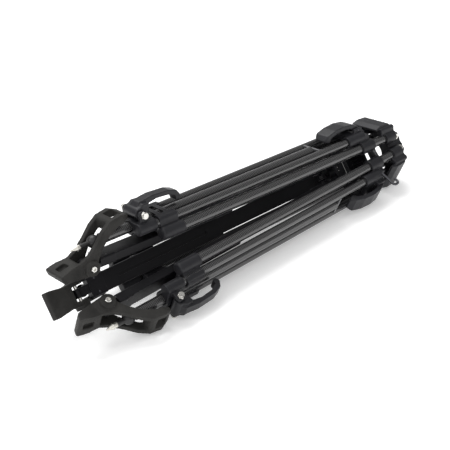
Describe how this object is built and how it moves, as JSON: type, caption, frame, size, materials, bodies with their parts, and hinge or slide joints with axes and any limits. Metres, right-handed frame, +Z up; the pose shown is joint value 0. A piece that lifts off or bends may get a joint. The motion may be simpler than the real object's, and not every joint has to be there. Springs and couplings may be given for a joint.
{
  "type": "folded video tripod",
  "caption": "Folded twin-tube carbon video tripod with half-ball bowl, lever locks, ground spreader and rubber shoes.",
  "frame": {"origin": "on the floor under the middle of the folded tripod, which lies on its side", "axes": "+X from the shoes to the head end, +Z up through leg A's side, +Y to leg C's side"},
  "size_m": [0.7056, 0.1954, 0.1745],
  "materials": {
    "casting": "satin dark grey powder coat",
    "carbon": "carbon fibre tube, fine twill, satin gloss",
    "lever": "satin moulded plastic",
    "bright_steel": "bright nickel",
    "guide": "bare aluminium",
    "dark_steel": "dark steel",
    "shoe_rubber": "matte moulded rubber",
    "arm_black": "black anodised"
  },
  "bodies": {
    "spider": {"spider": "casting", "hinge_screws": "bright_steel"},
    "spreader_hub": {"spreader_hub": "arm_black"},
    "upper_stage_a": {"top_casting_a": "casting", "upper_tubes_a": "carbon", "end_block_a": "casting"},
    "middle_stage_a": {"carriage_a": "casting", "middle_tubes_a": "carbon", "lower_clamp_a": "casting", "clamp_nut_a": "bright_steel", "upper_lever_pin_a": "dark_steel"},
    "lower_stage_a": {"lower_tube_a": "carbon", "guide_plate_a": "guide", "spike_foot_a": "dark_steel"},
    "shoe_a": {"shoe_a": "shoe_rubber", "shoe_bolt_a": "bright_steel"},
    "upper_lever_a": {"upper_lever_a": "lever"},
    "lower_lever_a": {"lower_lever_a": "lever"},
    "arm_outer_a": {"arm_outer_a": "arm_black"},
    "arm_middle_a": {"arm_middle_a": "arm_black"},
    "arm_inner_a": {"arm_inner_a": "arm_black"},
    "upper_stage_b": {"top_casting_b": "casting", "upper_tubes_b": "carbon", "end_block_b": "casting"},
    "middle_stage_b": {"carriage_b": "casting", "middle_tubes_b": "carbon", "lower_clamp_b": "casting", "clamp_nut_b": "bright_steel", "upper_lever_pin_b": "dark_steel", "accessory_hook": "dark_steel"},
    "lower_stage_b": {"lower_tube_b": "carbon", "guide_plate_b": "guide", "spike_foot_b": "dark_steel"},
    "shoe_b": {"shoe_b": "shoe_rubber", "shoe_bolt_b": "bright_steel"},
    "upper_lever_b": {"upper_lever_b": "lever"},
    "lower_lever_b": {"lower_lever_b": "lever"},
    "arm_outer_b": {"arm_outer_b": "arm_black"},
    "arm_middle_b": {"arm_middle_b": "arm_black"},
    "arm_inner_b": {"arm_inner_b": "arm_black"},
    "upper_stage_c": {"top_casting_c": "casting", "upper_tubes_c": "carbon", "end_block_c": "casting"},
    "middle_stage_c": {"carriage_c": "casting", "middle_tubes_c": "carbon", "lower_clamp_c": "casting", "clamp_nut_c": "bright_steel", "upper_lever_pin_c": "dark_steel"},
    "lower_stage_c": {"lower_tube_c": "carbon", "guide_plate_c": "guide", "spike_foot_c": "dark_steel"},
    "shoe_c": {"shoe_c": "shoe_rubber", "shoe_bolt_c": "bright_steel"},
    "upper_lever_c": {"upper_lever_c": "lever"},
    "lower_lever_c": {"lower_lever_c": "lever"},
    "arm_outer_c": {"arm_outer_c": "arm_black"},
    "arm_middle_c": {"arm_middle_c": "arm_black"},
    "arm_inner_c": {"arm_inner_c": "arm_black"}
  },
  "joints": [
    {"name": "spread_a", "type": "hinge", "parent": "spider", "child": "upper_stage_a", "pos_m": [0.33965, 0, 0.08831], "axis": [0, 1, 0], "range_deg": [0, 22]},
    {"name": "middle_slide_a", "type": "slide", "parent": "upper_stage_a", "child": "middle_stage_a", "axis": [-0.9986, 0, 0.0537], "range_m": [0, 0.27]},
    {"name": "lower_slide_a", "type": "slide", "parent": "middle_stage_a", "child": "lower_stage_a", "axis": [-0.9986, 0, 0.0537], "range_m": [0, 0.32]},
    {"name": "shoe_tilt_a", "type": "hinge", "parent": "lower_stage_a", "child": "shoe_a", "pos_m": [-0.27837, 0, 0.14175], "axis": [0, -1, 0], "range_deg": [0, 22]},
    {"name": "arm_swing_a", "type": "hinge", "parent": "shoe_a", "child": "arm_outer_a", "pos_m": [-0.29985, 0, 0.11467], "axis": [0, 1, 0], "range_deg": [0, 27.62]},
    {"name": "arm_middle_slide_a", "type": "slide", "parent": "arm_outer_a", "child": "arm_middle_a", "axis": [0.9978, 0, -0.0661], "range_m": [0, 0.2151]},
    {"name": "arm_inner_slide_a", "type": "slide", "parent": "arm_middle_a", "child": "arm_inner_a", "axis": [0.9978, 0, -0.0661], "range_m": [0, 0.2549]},
    {"name": "upper_lever_a", "type": "hinge", "parent": "middle_stage_a", "child": "upper_lever_a", "pos_m": [0.25854, 0, 0.12572], "axis": [0, 1, 0], "range_deg": [0, 100]},
    {"name": "lower_lever_a", "type": "hinge", "parent": "middle_stage_a", "child": "lower_lever_a", "pos_m": [-0.20139, 0, 0.15805], "axis": [0, -1, 0], "range_deg": [0, 110]},
    {"name": "spread_b", "type": "hinge", "parent": "spider", "child": "upper_stage_b", "pos_m": [0.33866, -0.02581, 0.04362], "axis": [0.0193, -0.5, 0.8658], "range_deg": [0, 22]},
    {"name": "middle_slide_b", "type": "slide", "parent": "upper_stage_b", "child": "middle_stage_b", "axis": [-0.9996, -0.0272, 0.0066], "range_m": [0, 0.27]},
    {"name": "lower_slide_b", "type": "slide", "parent": "middle_stage_b", "child": "lower_stage_b", "axis": [-0.9996, -0.0272, 0.0066], "range_m": [0, 0.32]},
    {"name": "shoe_tilt_b", "type": "hinge", "parent": "lower_stage_b", "child": "shoe_b", "pos_m": [-0.28069, -0.06016, 0.03758], "axis": [-0.0193, 0.5, -0.8658], "range_deg": [0, 22]},
    {"name": "arm_swing_b", "type": "hinge", "parent": "shoe_b", "child": "arm_outer_b", "pos_m": [-0.30125, -0.03629, 0.05182], "axis": [0.0193, -0.5, 0.8658], "range_deg": [0, 27.62]},
    {"name": "arm_middle_slide_b", "type": "slide", "parent": "arm_outer_b", "child": "arm_middle_b", "axis": [0.9993, 0.0379, -0.0003], "range_m": [0, 0.2151]},
    {"name": "arm_inner_slide_b", "type": "slide", "parent": "arm_middle_b", "child": "arm_inner_b", "axis": [0.9993, 0.0379, -0.0003], "range_m": [0, 0.2549]},
    {"name": "upper_lever_b", "type": "hinge", "parent": "middle_stage_b", "child": "upper_lever_b", "pos_m": [0.25636, -0.05663, 0.02765], "axis": [0.0193, -0.5, 0.8658], "range_deg": [0, 100]},
    {"name": "lower_lever_b", "type": "hinge", "parent": "middle_stage_b", "child": "lower_lever_b", "pos_m": [-0.20431, -0.07575, 0.02688], "axis": [-0.0193, 0.5, -0.8658], "range_deg": [0, 110]},
    {"name": "spread_c", "type": "hinge", "parent": "spider", "child": "upper_stage_c", "pos_m": [0.33866, 0.02581, 0.04362], "axis": [-0.0193, -0.5, -0.8658], "range_deg": [0, 22]},
    {"name": "middle_slide_c", "type": "slide", "parent": "upper_stage_c", "child": "middle_stage_c", "axis": [-0.9996, 0.0272, 0.0066], "range_m": [0, 0.27]},
    {"name": "lower_slide_c", "type": "slide", "parent": "middle_stage_c", "child": "lower_stage_c", "axis": [-0.9996, 0.0272, 0.0066], "range_m": [0, 0.32]},
    {"name": "shoe_tilt_c", "type": "hinge", "parent": "lower_stage_c", "child": "shoe_c", "pos_m": [-0.28069, 0.06016, 0.03758], "axis": [0.0193, 0.5, 0.8658], "range_deg": [0, 22]},
    {"name": "arm_swing_c", "type": "hinge", "parent": "shoe_c", "child": "arm_outer_c", "pos_m": [-0.30125, 0.03629, 0.05182], "axis": [-0.0193, -0.5, -0.8658], "range_deg": [0, 27.62]},
    {"name": "arm_middle_slide_c", "type": "slide", "parent": "arm_outer_c", "child": "arm_middle_c", "axis": [0.9993, -0.0379, -0.0003], "range_m": [0, 0.2151]},
    {"name": "arm_inner_slide_c", "type": "slide", "parent": "arm_middle_c", "child": "arm_inner_c", "axis": [0.9993, -0.0379, -0.0003], "range_m": [0, 0.2549]},
    {"name": "upper_lever_c", "type": "hinge", "parent": "middle_stage_c", "child": "upper_lever_c", "pos_m": [0.25636, 0.05663, 0.02765], "axis": [-0.0193, -0.5, -0.8658], "range_deg": [0, 100]},
    {"name": "lower_lever_c", "type": "hinge", "parent": "middle_stage_c", "child": "lower_lever_c", "pos_m": [-0.20431, 0.07575, 0.02688], "axis": [0.0193, 0.5, 0.8658], "range_deg": [0, 110]},
    {"name": "hub_swing", "type": "hinge", "parent": "arm_inner_a", "child": "spreader_hub", "pos_m": [0.19905, 0, 0.08164], "axis": [0, -1, 0], "range_deg": [0, 27.62]}
  ],
  "couplings": [
    {"joint": "shoe_tilt_a", "follows": "spread_a", "ratio": 1},
    {"joint": "arm_swing_a", "follows": "spread_a", "ratio": 1.255},
    {"joint": "arm_middle_slide_a", "follows": "middle_slide_a", "ratio": 0.796},
    {"joint": "arm_inner_slide_a", "follows": "lower_slide_a", "ratio": 0.796},
    {"joint": "spread_b", "follows": "spread_a", "ratio": 1},
    {"joint": "middle_slide_b", "follows": "middle_slide_a", "ratio": 1},
    {"joint": "lower_slide_b", "follows": "lower_slide_a", "ratio": 1},
    {"joint": "shoe_tilt_b", "follows": "spread_a", "ratio": 1},
    {"joint": "arm_swing_b", "follows": "spread_a", "ratio": 1.255},
    {"joint": "arm_middle_slide_b", "follows": "middle_slide_a", "ratio": 0.796},
    {"joint": "arm_inner_slide_b", "follows": "lower_slide_a", "ratio": 0.796},
    {"joint": "spread_c", "follows": "spread_a", "ratio": 1},
    {"joint": "middle_slide_c", "follows": "middle_slide_a", "ratio": 1},
    {"joint": "lower_slide_c", "follows": "lower_slide_a", "ratio": 1},
    {"joint": "shoe_tilt_c", "follows": "spread_a", "ratio": 1},
    {"joint": "arm_swing_c", "follows": "spread_a", "ratio": 1.255},
    {"joint": "arm_middle_slide_c", "follows": "middle_slide_a", "ratio": 0.796},
    {"joint": "arm_inner_slide_c", "follows": "lower_slide_a", "ratio": 0.796},
    {"joint": "hub_swing", "follows": "spread_a", "ratio": 1.255}
  ]
}
